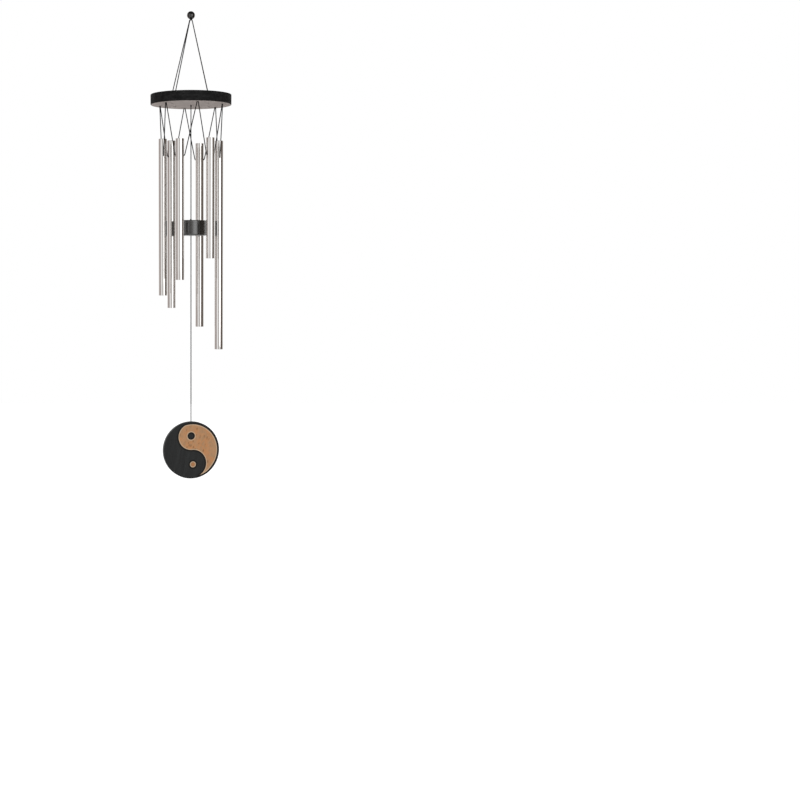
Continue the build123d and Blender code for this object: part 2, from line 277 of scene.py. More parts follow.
def joined(shapes):
    """Several shapes as one."""
    points, faces, start = [], [], 0
    for some_points, some_faces in shapes:
        points.append(some_points)
        faces += [[corner + start for corner in face] for face in some_faces]
        start += len(some_points)
    return np.vstack(points), faces


def turned(profile, columns, centre=(0.0, 0.0)):
    """A profile of (radius, height) turned round an upright axis: (radius times the cosine
    of the angle, radius times its sine, height). Going up, it faces away from the axis."""
    reach, level = np.array(profile).T
    angle = once_round(columns)
    rings = np.empty((len(reach), columns, 3))
    rings[:, :, 0] = centre[0] + reach[:, None] * np.cos(angle)
    rings[:, :, 1] = centre[1] + reach[:, None] * np.sin(angle)
    rings[:, :, 2] = level[:, None]
    return surface(rings)


def rounding(reach, level, radius, first, last, steps=4):
    """Points of a quarter circle round (reach, level), from one angle to another."""
    angle = np.radians(np.linspace(first, last, steps + 1))
    return [(reach + radius * c, level + radius * s) for c, s in zip(np.cos(angle), np.sin(angle))]


def flat_face(rim, holes, height, upward):
    """A level face inside a round rim, with round holes: the triangles between the rim's and
    the holes' points, without those whose middle lies in a hole. Each is (centre, radius,
    columns)."""
    outlines = []
    for centre, radius, columns in [rim, *holes]:
        angle = once_round(columns)
        outlines.append(np.stack([np.cos(angle), np.sin(angle)], axis=-1) * radius + centre)
    starts = np.cumsum([0] + [len(outline) for outline in outlines])
    edges = []
    for start, outline in zip(starts, outlines):
        corner = np.arange(len(outline))
        edges += (start + np.stack([corner, (corner + 1) % len(outline)], axis=-1)).tolist()
    corners = [Vector(corner) for corner in np.vstack(outlines).tolist()]
    flat, _, triangles, _, _, _ = delaunay_2d_cdt(corners, edges, [], 1, 1e-9)
    flat = np.array([tuple(corner) for corner in flat])
    triangles = np.array(triangles)
    middles = flat[triangles].mean(axis=1)
    kept = np.ones(len(triangles), dtype=bool)
    for centre, radius, _ in holes:
        kept &= np.linalg.norm(middles - centre, axis=-1) > radius * 0.98
    triangles = triangles[kept]
    first, second, third = (flat[triangles[:, corner]] for corner in range(3))
    turn = np.cross(second - first, third - first)
    wrong = (turn < 0) if upward else (turn > 0)
    triangles[wrong] = triangles[wrong][:, ::-1]
    return np.hstack([flat, np.full((len(flat), 1), height)]), triangles.tolist()


def place_object(name, data):
    """An object in the scene, at the origin."""
    made = bpy.data.objects.new(name, data)
    bpy.context.scene.collection.objects.link(made)
    return made


def make_mesh(name, shape, material):
    """A shape's mesh, with its material."""
    points, faces = shape
    mesh = bpy.data.meshes.new(name)
    mesh.from_pydata(np.asarray(points).tolist(), [], faces)
    mesh.materials.append(material)
    return mesh


def make_piece(name, shape, material, body, slot, *replaced, sharp_angle=40.0, merge=False):
    """A piece at the origin that rides on a body of the frame and stands for the nodes that
    it replaces. Points that meet are merged where `merge` is set."""
    mesh = make_mesh(name, shape, material)
    if merge:
        shell = bmesh.new()
        shell.from_mesh(mesh)
        bmesh.ops.remove_doubles(shell, verts=shell.verts, dist=2e-7)
        shell.to_mesh(mesh)
        shell.free()
    mesh.shade_smooth()
    mesh.set_sharp_from_angle(angle=math.radians(sharp_angle))
    piece = place_object(name, mesh)
    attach(piece, body)
    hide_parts(*replaced)
    return piece


def route_line(route, resolution=24):
    """Points of the smooth line that has a route's points as its control points."""
    curve = bpy.data.curves.new("route", "CURVE")
    curve.dimensions = "3D"
    curve.resolution_u = resolution
    spline = curve.splines.new("NURBS")
    spline.points.add(len(route) - 1)
    spline.points.foreach_set("co", np.hstack([route, np.ones((len(route), 1))]).ravel())
    spline.order_u = 3
    spline.use_endpoint_u = True
    holder = bpy.data.objects.new("route", curve)
    mesh = bpy.data.meshes.new_from_object(holder)
    line = np.zeros(len(mesh.vertices) * 3)
    mesh.vertices.foreach_get("co", line)
    bpy.data.objects.remove(holder)
    bpy.data.curves.remove(curve)
    bpy.data.meshes.remove(mesh)
    return line.reshape(-1, 3)


def distances(line):
    """How far each point of a line is along it."""
    return np.concatenate([[0], np.cumsum(np.linalg.norm(np.diff(line, axis=0), axis=1))])


def spaced_line(line, step):
    """The same line with its points a step apart."""
    along = distances(line)
    places = np.linspace(0, along[-1], max(2, round(along[-1] / step) + 1))
    return np.stack([np.interp(places, along, line[:, axis]) for axis in range(3)], axis=-1)


def braided_tube(line, radius, relief, normals=None):
    """A braided cord along a line: the radius times 1 plus the relief, times the cosine of
    six times the angle round the cord, its sign changed from each ring to the next. That
    leaves stitches that lie like a chessboard. `normals` are directions across the line."""
    tangents = unit(np.gradient(line, axis=0))
    if normals is None:
        spread = np.cross(line[-1] - line[0], line[len(line) // 2] - line[0])
        straight = np.linalg.norm(spread) < 1e-9
        across = np.cross(tangents[0], (0.3, 0.9, 0.1)) if straight else spread
        normals = np.broadcast_to(unit(across), line.shape)
    sides = unit(np.cross(tangents, normals))
    ups = np.cross(sides, tangents)
    angle = np.radians(np.arange(12) * 30.0)
    signs = (-1.0) ** np.arange(len(line))
    reach = radius * (1 + relief * signs[:, None] * np.cos(6 * angle)[None, :])
    rings = (
        line[:, None, :]
        + (reach * np.cos(angle))[:, :, None] * sides[:, None, :]
        + (reach * np.sin(angle))[:, :, None] * -ups[:, None, :]
    )
    return closed_tube(rings)


def tied_knot(centre, size, turn=0.0):
    """A tight overhand knot. Its line is a trefoil: (sin t + 2 sin 2t, cos t - 2 cos 2t) in
    plan and -sin 3t in height, drawn in until its strands lie on one another."""
    width, height, radius = size
    t = np.linspace(0, 2 * np.pi, 97)
    reach = (width / 2 - radius) / 3
    plan_x = reach * (np.sin(t) + 2 * np.sin(2 * t))
    plan_y = reach * (np.cos(t) - 2 * np.cos(2 * t))
    level = -(height / 2 - radius) * np.sin(3 * t)
    c, s = math.cos(math.radians(turn)), math.sin(math.radians(turn))
    line = np.stack([c * plan_x - s * plan_y, s * plan_x + c * plan_y, level], axis=-1)
    outward = unit(line * (1, 1, 0.3))
    points, faces = braided_tube(line, radius, KNOT_RELIEF, normals=outward)
    return points + np.asarray(centre), faces


def seated_knot(place, seat, size, side=1, turn=0.0):
    """A knot over a place, that lies against a level seat: on it, or under it at side -1."""
    return tied_knot(place * (1, 1, 0) + UP * (seat + side * size[1] / 2), size, turn)


def double_knot(centre, sizes, turn=0.0, twist=60.0):
    """Two knots in one another."""
    return [tied_knot(centre, sizes[0], turn), tied_knot(centre, sizes[1], turn + twist)]


def cord_stub(bottom, top, centre, radius, ring_step=0.00035):
    """A short upright end of cord."""
    rise = np.linspace(bottom, top, max(3, round((top - bottom) / ring_step)))
    line = np.stack([np.full_like(rise, centre[0]), np.full_like(rise, centre[1]), rise], axis=-1)
    return braided_tube(line, radius, KNOT_RELIEF)


def plumb_route(top, bottom):
    """The route of a cord that hangs straight down, with a point near each of its ends."""
    return [UP * height for height in (top, top - EDGE_REACH, bottom + EDGE_REACH, bottom)]


def tube_shape(hole, across, bottom, top, sizes):
    """A tube with rounded rims and a cross hole. Its wall is a closed profile turned round
    the axis. At each end of the hole a square patch of the wall is left out, and rings that
    pass from the square's edge to the hole's circle, through the wall, and out to the inner
    square fill it. A point at the angle a of a ring of radius h, on a wall of radius r, lies
    at the angle asin(h cos a / r) round the tube, and at the height h sin a."""
    outer, rim, columns = sizes.diameter / 2, sizes.rim_radius, sizes.columns
    inner, half = outer - sizes.wall, 3
    step = 2 * np.pi / columns
    patch = hole[2] + half * step * outer * np.linspace(-1, 1, 2 * half + 1)
    low = np.linspace(bottom + rim, patch[0], 8)
    high = np.linspace(patch[-1], top - rim, 4)
    heights = np.concatenate([low[:-1], patch, high[1:]])
    profile = [(outer, height) for height in heights[:-1]]
    profile += rounding(outer - rim, top - rim, rim, 0, 90)
    profile += rounding(inner + rim, top - rim, rim, 90, 180)
    profile += [(inner, height) for height in heights[-2:0:-1]]
    profile += rounding(inner + rim, bottom + rim, rim, 180, 270)
    profile += rounding(outer - rim, bottom + rim, rim, 270, 360)[:-1]
    reach, level = np.array(profile).T
    side = np.cross(UP, across)

    def placed(reach, angle, level):
        """Points round the tube's axis, the angle taken from the hole's direction."""
        flat = np.cos(angle)[..., None] * across + np.sin(angle)[..., None] * side
        return reach[..., None] * flat + level[..., None] * UP + hole * (1.0, 1.0, 0.0)

    shape = (len(reach), columns)
    row, column = np.indices(shape)
    points = placed(reach[row], step * column, level[row])
    last_inner = int(np.flatnonzero((reach == inner) & (level < patch[0] + 1e-9))[0])
    near = (column + half) % (columns // 2) < 2 * half
    kept = np.ones(shape, dtype=bool)
    for first in (len(low) - 1, last_inner - 2 * half):
        kept[near & (row >= first) & (row < first + 2 * half)] = False
    used, faces = np.unique(grid_faces(*shape, closed=True)[kept], return_inverse=True)
    shapes = [(points.reshape(-1, 3)[used], faces.reshape(-1, 4).tolist())]

    count, radius, burr = 8 * half, sizes.hole_radius, sizes.burr
    corner, circle = np.arange(count), once_round(count)

    def square(corner):
        """One coordinate of the square's edge, counted round it from the middle of a side."""
        corner = corner % count
        return np.clip(2 * half - np.minimum(corner, count - corner), -half, half)

    def hole_ring(reach, radius):
        """A ring of the hole, where a cylinder of its radius meets one of the tube."""
        return reach, np.arcsin(radius * np.cos(circle) / reach), radius * np.sin(circle)

    def square_ring(reach):
        """The patch's edge on a wall of the tube."""
        return reach, square(corner) * step, square(corner - 2 * half) * step * outer

    def middle_ring(first, second):
        """The ring half way between two rings of one wall."""
        return first[0], (first[1] + second[1]) / 2, (first[2] + second[2]) / 2

    cut = burr * 0.3  # half way round a rounded edge
    rings = [square_ring(outer), hole_ring(outer, radius + burr)]
    rings.insert(1, middle_ring(*rings))
    rings += [hole_ring(outer - cut, radius + cut), hole_ring(outer - burr, radius)]
    rings += [hole_ring(inner + burr, radius), hole_ring(inner + cut, radius + cut)]
    ends = [hole_ring(inner, radius + burr), square_ring(inner)]
    rings += [ends[0], middle_ring(*ends), ends[1]]
    reach = np.array([np.full(count, ring[0]) for ring in rings])
    round_it = np.array([ring[1] for ring in rings])
    level = np.array([ring[2] for ring in rings]) + hole[2]
    shapes += [surface(placed(reach, round_it + start, level)) for start in (0, np.pi)]
    return joined(shapes)


def disc_shape(edge):
    """The round disc: a turned rim, turned holes with their recesses, and two flat faces."""
    lip, soft, rim_columns, hole_columns = 0.0004, 0.0002, 180, 36
    inside = disc_radius - edge
    rim = [(inside - lip, disc_bottom)]
    rim += rounding(inside, disc_bottom + edge, edge, 270, 360)
    rim += rounding(inside, disc_top - edge, edge, 0, 90)
    rim += [(inside - lip, disc_top)]
    shapes = [turned(rim, rim_columns)]
    holes = [((0.0, 0.0), CORD_HOLE_RADIUS, KNOT_RECESS_RADIUS, True)]
    for angle in SUSPENSION_ANGLES:
        centre = tuple(radial(angle)[:2] * SUSPENSION_RADIUS)
        holes.append((centre, CORD_HOLE_RADIUS, KNOT_RECESS_RADIUS, False))
    for angle in LOOP_ANGLES:
        centre = tuple(radial(angle)[:2] * LOOP_HOLE_RADIUS)
        holes.append((centre, PAIR_HOLE_RADIUS, PAIR_RECESS_RADIUS, True))
    above, below = [], []
    for centre, narrow, wide, opens_up in holes:
        upper, lower = (wide, narrow) if opens_up else (narrow, wide)
        seat = upper_seat if opens_up else lower_seat
        wall = [(upper + 2 * soft, disc_top)]
        wall += rounding(upper + soft, disc_top - soft, soft, 90, 180, 3)
        wall += [(upper, seat), (lower, seat)]
        wall += rounding(lower + soft, disc_bottom + soft, soft, 180, 270, 3)
        wall += [(lower + 2 * soft, disc_bottom)]
        shapes.append(turned(wall, hole_columns, centre))
        above.append((centre, upper + 2 * soft, hole_columns))
        below.append((centre, lower + 2 * soft, hole_columns))
    face = ((0.0, 0.0), inside - lip, rim_columns)
    shapes.append(flat_face(face, above, disc_top, True))
    shapes.append(flat_face(face, below, disc_bottom, False))
    return joined(shapes)


def striker_shape(radius, edge, foot):
    """The striker turned from one profile: down its bore, over the recess underneath, round
    the lower rim, up the side and round the upper rim."""
    bore, recess, soft, lip = CORD_HOLE_RADIUS, STRIKER_RECESS_RADIUS, 0.0002, 0.0004
    profile = [(bore, striker_seat), (recess, striker_seat)]
    profile += rounding(recess + soft, striker_bottom + soft, soft, 180, 270, 3)
    profile += [(radius - foot - lip, striker_bottom)]
    profile += rounding(radius - foot, striker_bottom + foot, foot, 270, 360, 8)
    profile += rounding(radius - edge, striker_top - edge, edge, 0, 90, 6)
    profile += [(radius - edge - lip, striker_top), (bore + soft + lip, striker_top)]
    profile += rounding(bore + soft, striker_top - soft, soft, 90, 180, 3)
    profile += [(bore, striker_seat)]
    return turned(profile, 144)


# Node trees


def set_inputs(tree, node, inputs):
    """A node with each of these inputs set to a value, or linked to another's output."""
    for key, value in inputs.items():
        if isinstance(value, bpy.types.NodeSocket):
            tree.links.new(value, node.inputs[key])
        else:
            node.inputs[key].default_value = value
    return node


def add_node(tree, kind, inputs, **settings):
    """The outputs of a new node."""
    made = tree.nodes.new(kind)
    for name, value in settings.items():
        setattr(made, name, value)
    return set_inputs(tree, made, inputs).outputs


def maths(tree, operation, first, second=0.0, third=0.0):
    """The result of a Math node."""
    return add_node(tree, "ShaderNodeMath", {0: first, 1: second, 2: third}, operation=operation)[0]


def times(tree, first, second):
    """Two values multiplied."""
    return maths(tree, "MULTIPLY", first, second)


def ramp(tree, value, low, high):
    """A value made 0 at `low` and 1 at `high`, and kept between them."""
    inputs = {"Value": value, "From Min": low, "From Max": high}
    return add_node(tree, "ShaderNodeMapRange", inputs, interpolation_type="SMOOTHSTEP")["Result"]


def mixed(tree, factor, first, second, share=1.0):
    """Two colours mixed, by a factor or by a share of it."""
    if share != 1.0:
        factor = times(tree, factor, share)
    return add_node(tree, "ShaderNodeMix", {0: factor, 6: first, 7: second}, data_type="RGBA")[2]


def noise(tree, place, scale, detail=2.0, roughness=0.5):
    """The value of a noise texture."""
    inputs = {"Vector": place, "Scale": scale, "Detail": detail, "Roughness": roughness}
    return add_node(tree, "ShaderNodeTexNoise", inputs)["Fac"]


def mapped(tree, place, scale=(1.0, 1.0, 1.0), turn=0.0):
    """A place stretched, and turned about Y by an angle in degrees."""
    inputs = {"Vector": place, "Scale": scale, "Rotation": (0.0, math.radians(turn), 0.0)}
    return add_node(tree, "ShaderNodeMapping", inputs)[0]


def flattened(tree, place):
    """A place with its third coordinate left out."""
    inputs = {0: place, 1: (1.0, 1.0, 0.0)}
    return add_node(tree, "ShaderNodeVectorMath", inputs, operation="MULTIPLY")[0]


def away(tree, place, across=0.0, up=0.0):
    """The distance of a flattened place from a point."""
    inputs = {0: place, 1: (across, up, 0.0)}
    return add_node(tree, "ShaderNodeVectorMath", inputs, operation="DISTANCE")["Value"]


def bump(tree, height, distance, strength):
    """The normal of a surface with a height."""
    inputs = {"Height": height, "Distance": distance, "Strength": strength}
    return add_node(tree, "ShaderNodeBump", inputs)["Normal"]


def shade(colour, factor=1.0):
    """A colour with its alpha, each channel times a factor."""
    return (*np.minimum(1.0, np.multiply(colour, factor)).tolist(), 1.0)


def make_group(name, inputs, outputs):
    """An empty node group with named sockets."""
    group = bpy.data.node_groups.new(name, "ShaderNodeTree")
    for label, kind, default in inputs:
        socket = group.interface.new_socket(label, in_out="INPUT", socket_type=kind)
        if default is not None:
            socket.default_value = default
    for label in outputs:
        group.interface.new_socket(label, in_out="OUTPUT", socket_type="NodeSocketFloat")
    start = group.nodes.new("NodeGroupInput")
    return group, start.outputs, group.nodes.new("NodeGroupOutput")


def use_group(tree, name, inputs):
    """The outputs of a node group placed in a tree."""
    made = tree.nodes.new("ShaderNodeGroup")
    made.node_tree = bpy.data.node_groups[name]
    return set_inputs(tree, made, inputs).outputs


def make_streaks_group(name, spacing, roughness, layers):
    """Layers of noise drawn out along one axis. Each layer has its name, its scale along the
    three axes, its share of the spacing, its detail, and the values made 0 and 1."""
    sockets = [("Vector", "NodeSocketVector", None), ("Spacing", "NodeSocketFloat", spacing)]
    group, given, result = make_group(name, sockets, [layer[0] for layer in layers])
    for label, stretch, share, detail, low, high in layers:
        place = mapped(group, given["Vector"], stretch)
        streaks = noise(group, place, times(group, given["Spacing"], share), detail, roughness)
        set_inputs(group, result, {label: ramp(group, streaks, low, high)})


def make_grain_group():
    """Wood grain along X: long streaks, fine fibres and short open pores."""
    layers = (
        ("Streaks", (0.06, 1.0, 1.0), 1.0, 3.0, 0.35, 0.68),
        ("Fibres", (0.05, 1.0, 1.0), 6.0, 2.0, 0.3, 0.7),
        ("Pores", (0.12, 1.0, 1.0), 3.5, 1.0, 0.62, 0.72),
    )
    make_streaks_group("wood_grain", 260.0, 0.6, layers)


def make_lines_group():
    """Fine lines along Z, as a tube has from being drawn: bands, hair lines and marks."""
    layers = (
        ("Bands", (420.0, 420.0, 0.8), 1.0, 2.0, 0.35, 0.65),
        ("Lines", (2600.0, 2600.0, 2.5), 1.0, 2.0, 0.3, 0.7),
        ("Marks", (500.0, 500.0, 200.0), 1.0, 1.0, 0.74, 0.8),
    )
    make_streaks_group("drawn_lines", 1.0, 0.5, layers)


def make_symbol_group():
    """How far inside the pale wood's edges a point is, in metres, from its place on the
    symbol. The comma's edge is the nearest of four circles: the symbol's, the lower lobe's,
    on the left the upper lobe's, and the eye's. Reach is the distance from the sail's axis."""
    sockets = [("Place", "NodeSocketVector", None)]
    group, given, result = make_group("symbol_edges", sockets, ["Comma", "Eye", "Reach"])
    flat = flattened(group, given["Place"])
    across, up, _ = add_node(group, "ShaderNodeSeparateXYZ", {0: flat})
    lobe, turn = SYMBOL_RADIUS / 2, math.radians(SYMBOL_TURN)

    def less(first, second):
        """One value less another."""
        return maths(group, "SUBTRACT", first, second)

    border = times(group, ramp(group, up, -0.036, -0.026), RIM_BORDER)
    rim = less(less(SYMBOL_RADIUS, away(group, flat)), border)
    tail = less(away(group, flat, up=-lobe), lobe)
    head = maths(group, "MAXIMUM", across, less(lobe, away(group, flat, up=lobe)))
    nearest = less(away(group, flat, up=EYE_OFFSET), EYE_RADIUS)
    for edge in (rim, tail, head):
        nearest = maths(group, "MINIMUM", nearest, edge)
    middle = (-SYMBOL_SHIFT * math.cos(turn), SYMBOL_SHIFT * math.sin(turn))
    eye = less(EYE_RADIUS, away(group, flat, up=-EYE_OFFSET))
    set_inputs(group, result, {"Comma": nearest, "Eye": eye, "Reach": away(group, flat, *middle)})


def symbol_place(tree, place):
    """A point's place on the symbol: across it, up it and out of it."""
    out = radial(SAIL_TURN - 90.0)
    level = radial(SAIL_TURN)
    c, s = math.cos(math.radians(SYMBOL_TURN)), math.sin(math.radians(SYMBOL_TURN))
    across = level * c + np.cross(out, level) * s
    basis = Matrix((across, np.cross(out, across), out)).transposed()
    middle = level * SYMBOL_SHIFT + UP * (sail_top + sail_bottom) / 2
    inputs = {"Vector": place, "Location": tuple(middle), "Rotation": tuple(basis.to_euler())}
    return add_node(tree, "ShaderNodeMapping", inputs, vector_type="TEXTURE")[0]


# Materials


def new_material(name):
    """A material with its tree, and the place of a point on its piece."""
    material = bpy.data.materials.new(name)
    material.use_nodes = True
    tree = material.node_tree
    return material, tree, add_node(tree, "ShaderNodeTexCoord", {})["Object"]


def dressed(material, inputs):
    """A material with its shader's inputs set."""
    tree = material.node_tree
    set_inputs(tree, tree.nodes["Principled BSDF"], inputs)
    return material


def make_cord_material(colour):
    """Black braided fibre: fine threads painted lighter in patches, a painted sheen for the little light
    that the crowns catch.
    """
    material, tree, place = new_material("braided_black_cord")
    fibres = noise(tree, place, 5200.0)
    sheen_patches = noise(tree, place, 420.0)
    # Painted sheen: fine threads made lighter in patches, for light caught on the cord.
    painted_highlight = times(tree, ramp(tree, fibres, 0.4, 0.75), ramp(tree, sheen_patches, 0.2, 0.8))
    inputs = {
        "Base Color": mixed(tree, painted_highlight, shade(colour, 0.6), shade(colour, 2.2)),
        "Normal": bump(tree, fibres, 0.00006, 0.6),
        "Roughness": 0.8,
        "Specular IOR Level": 0.15,
    }
    return dressed(material, inputs)


def make_metal_material(bright, dull):
    """Polished metal drawn lengthways, with hair lines and a few small marks."""
    material, tree, place = new_material("drawn_aluminium")
    lines = use_group(tree, "drawn_lines", {"Vector": place})
    both = maths(tree, "MULTIPLY_ADD", lines["Bands"], 0.3, times(tree, lines["Lines"], 0.3))
    colour = mixed(tree, both, shade(bright), shade(dull))
    rough = maths(tree, "MULTIPLY_ADD", lines["Lines"], 0.04, 0.05)
    inputs = {
        "Base Color": mixed(tree, lines["Marks"], colour, shade(dull, 0.8), 0.25),
        "Roughness": maths(tree, "MULTIPLY_ADD", lines["Marks"], 0.1, rough),
        "Normal": bump(tree, lines["Lines"], 0.000005, 0.02),
        "Metallic": 1.0,
    }
    return dressed(material, inputs)


def with_symbol_edge(tree, place, grain, paint, colour):
    """The sail's colour with a dark line round the pale wood on its front face, as far as the comma's tip,
    and with its side wall painted lighter all round: a painted highlight that stands in for light catching
    the wall."""
    spot = symbol_place(tree, place)
    edges = use_group(tree, "symbol_edges", {"Place": spot})
    across, up, depth = add_node(tree, "ShaderNodeSeparateXYZ", {0: spot})
    face = SAIL_THICKNESS / 2
    tip = maths(tree, "MAXIMUM", ramp(tree, across, 0.004, 0.0085), ramp(tree, up, -0.037, -0.034))
    near = maths(tree, "MAXIMUM", edges["Comma"], edges["Eye"])
    front = ramp(tree, depth, face - 0.0012, face - 0.0006)
    line = times(tree, times(tree, ramp(tree, near, -0.0024, -0.0016), front), tip)
    colour = mixed(tree, line, colour, OUTLINE_COLOUR)
    rim = ramp(tree, edges["Reach"], sail_radius - 0.0006, sail_radius - 0.0004)
    side = ramp(tree, maths(tree, "ABSOLUTE", depth), face - 0.0004, face - 0.0009)
    # Painted highlight: the side wall's paint is made several times lighter, for light that catches the
    # wall.
    painted_highlight = mixed(tree, grain["Streaks"], shade(paint, 4.5), shade(paint, 8.0))
    return mixed(tree, times(tree, rim, side), colour, painted_highlight)


def with_bare_underside(tree, place, grain, bare, colour):
    """The disc's colour with its underside left unstained, up to an uneven line."""
    wood = mixed(tree, grain["Streaks"], shade(bare, 0.84), shade(bare, 1.1))
    wood = mixed(tree, grain["Fibres"], wood, shade(bare, 0.75), 0.3)
    wood = mixed(tree, grain["Pores"], wood, shade(bare, 0.4), 0.6)
    height = add_node(tree, "ShaderNodeSeparateXYZ", {0: place})[2]
    reach = away(tree, flattened(tree, place))
    seep = maths(tree, "MULTIPLY_ADD", grain["Fibres"], 0.0007, reach)
    under = ramp(tree, height, disc_bottom + 0.00025, disc_bottom + 0.00012)
    inside = ramp(tree, seep, disc_radius - 0.0001, disc_radius - 0.0005)
    return mixed(tree, times(tree, under, inside), colour, wood)


def make_black_wood_material(
    name, stain, change=None, colours=(), spacing=260.0, turn=0.0, contrast=1.0,
    relief=0.4, rough=0.5, gloss=0.3, coat=0.0,
):
    """Wood under a black stain that lets its grain show. `change` is a function that changes
    the stain's colour over part of the piece, with colours of its own."""
    material, tree, place = new_material(name)
    grain = use_group(tree, "wood_grain", {"Vector": mapped(tree, place, turn=turn), "Spacing": spacing})
    streaks = times(tree, grain["Streaks"], grain["Fibres"])
    colour = mixed(tree, streaks, shade(stain, 1 - 0.25 * contrast), shade(stain, 1 + 1.1 * contrast))
    colour = mixed(tree, grain["Pores"], colour, shade(stain, 0.3), 0.6 * contrast)
    if change:
        colour = change(tree, place, grain, *colours, colour)
    height = maths(tree, "SUBTRACT", times(tree, grain["Fibres"], 0.4), grain["Pores"])
    inputs = {
        "Base Color": colour,
        "Normal": bump(tree, height, 0.00015, relief),
        "Roughness": maths(tree, "MULTIPLY_ADD", grain["Fibres"], 0.15, rough),
        "Specular IOR Level": gloss,
        "Coat Weight": coat,
        "Coat Roughness": rough,
    }
    return dressed(material, inputs)


def make_inlay_material(name, inlay, edge, heart=False):
    """Bare pale wood with a fine mottled grain and small flecks. Its cut edge is dark, and a
    lighter line runs just inside it. With a heart, its middle is redder."""
    material, tree, place = new_material(name)
    upright = mapped(tree, place, turn=78.0)
    grain = use_group(tree, "wood_grain", {"Vector": upright, "Spacing": 300.0})
    mottle = ramp(tree, noise(tree, place, 150.0, 4.0, 0.7), 0.4, 0.62)
    broad = noise(tree, place, 32.0)
    inputs = {"Vector": mapped(tree, upright, (0.5, 1.0, 1.0)), "Scale": 210.0}
    flecks = add_node(tree, "ShaderNodeTexVoronoi", inputs)["Distance"]
    warm, tan = shade(inlay, (1.12, 0.93, 0.74)), shade(inlay, (0.82, 0.92, 1.0))
    colour = mixed(tree, ramp(tree, broad, 0.4, 0.6), shade(inlay), warm)
    colour = mixed(tree, mottle, colour, tan, 0.8)
    colour = mixed(tree, grain["Streaks"], colour, shade(inlay, 1.16), 0.35)
    colour = mixed(tree, grain["Pores"], colour, shade(inlay, 0.55), 0.3)
    spots = times(tree, ramp(tree, flecks, 0.3, 0.18), ramp(tree, broad, 0.45, 0.55))
    colour = mixed(tree, spots, colour, (0.22, 0.1, 0.035, 1.0), 0.7)
    inside = use_group(tree, "symbol_edges", {"Place": symbol_place(tree, place)})[edge]
    if heart:
        colour = mixed(tree, ramp(tree, inside, 0.0022, 0.0036), colour, (0.38, 0.165, 0.062, 1.0))
    light = ramp(tree, inside, 0.0022, 0.0014)
    colour = mixed(tree, light, colour, (0.58, 0.45, 0.31, 1.0), 0.7)
    height = maths(tree, "SUBTRACT", times(tree, grain["Fibres"], 0.5), grain["Pores"])
    inputs = {
        "Base Color": mixed(tree, ramp(tree, inside, 0.0009, 0.0004), colour, (0.02, 0.013, 0.009, 1.0)),
        "Normal": bump(tree, height, 0.0001, 0.3),
        "Roughness": maths(tree, "MULTIPLY_ADD", grain["Fibres"], 0.12, 0.55),
        "Specular IOR Level": 0.25,
    }
    return dressed(material, inputs)


def make_ball_material(lacquer):
    """Black lacquer over a turned ball, faintly uneven."""
    material, tree, place = new_material("black_lacquer")
    waves = noise(tree, place, 350.0)
    inputs = {
        "Base Color": mixed(tree, waves, shade(lacquer, 0.8), shade(lacquer, 1.6)),
        "Roughness": maths(tree, "MULTIPLY_ADD", waves, 0.08, 0.05),
        "Normal": bump(tree, waves, 0.00006, 0.15),
        "Specular IOR Level": 1.0,
    }
    return dressed(material, inputs)


# Cords and knots


def cord_finish():
    """The cords' material, made the first time that it is asked for."""
    colour = tuple(bpy.context.scene.chime_cords.colour)
    return bpy.data.materials.get("braided_black_cord") or make_cord_material(colour)


def make_cord_piece(name, shapes, body, *replaced):
    """Strands, knots and ends of cord, as one piece."""
    return make_piece(name, joined(shapes), cord_finish(), body, "cord", *replaced, sharp_angle=180.0)


def make_cord(name, route, body, replaced):
    """A taut braided cord on a route."""
    settings = bpy.context.scene.chime_cords
    line = route_line(np.array(route))
    shape = braided_tube(spaced_line(line, settings.stitch), settings.diameter / 2, settings.relief)
    piece = make_cord_piece(name, [shape], body, replaced)
    return piece


class CHIME_OT_suspension(bpy.types.Operator):
    """Makes the four cords from the hanging knot to the disc, and the knots under it"""

    bl_idname = "chime.suspension"
    bl_label = "Suspension cords"

    def execute(self, context):
        settings = context.scene.chime_cords
        nodes = [f"suspension_cord_{number}" for number in range(1, 5)]
        ends = []
        for number, angle in enumerate(SUSPENSION_ANGLES, 1):
            start = radial(angle) * STRAND_START[0] + UP * STRAND_START[1]
            corner = radial(angle) * SUSPENSION_RADIUS + UP * disc_top
            before = corner + unit(start - corner) * EDGE_REACH
            end = radial(angle) * SUSPENSION_RADIUS + UP * lower_seat
            inside = hanging_pivot + radial(angle) * STRAND_END[0] + UP * STRAND_END[1]
            bent = [inside, start, start + unit(corner - start) * STRAND_OVERLAP]
            bent = spaced_line(route_line(np.array(bent)), settings.stitch)
            ends.append(braided_tube(bent, settings.diameter / 2, settings.relief))
            knot = seated_knot(end, lower_seat, STOP_KNOT, side=-1, turn=angle)
            tail_top, tail_bottom = (lower_seat - reach for reach in UNDER_TAIL)
            tail = cord_stub(tail_bottom, tail_top, end, TAIL_RADIUS)
            node = nodes[number - 1]
            tied = make_cord_piece(f"under_knot_{number}", [knot, tail], "platform", node)
            route = [start, before, corner, end]
            make_cord(f"suspension_strand_{number}", route, "platform", node)
        make_cord_piece("strand_ends", ends, "platform", *nodes)
        return {"FINISHED"}


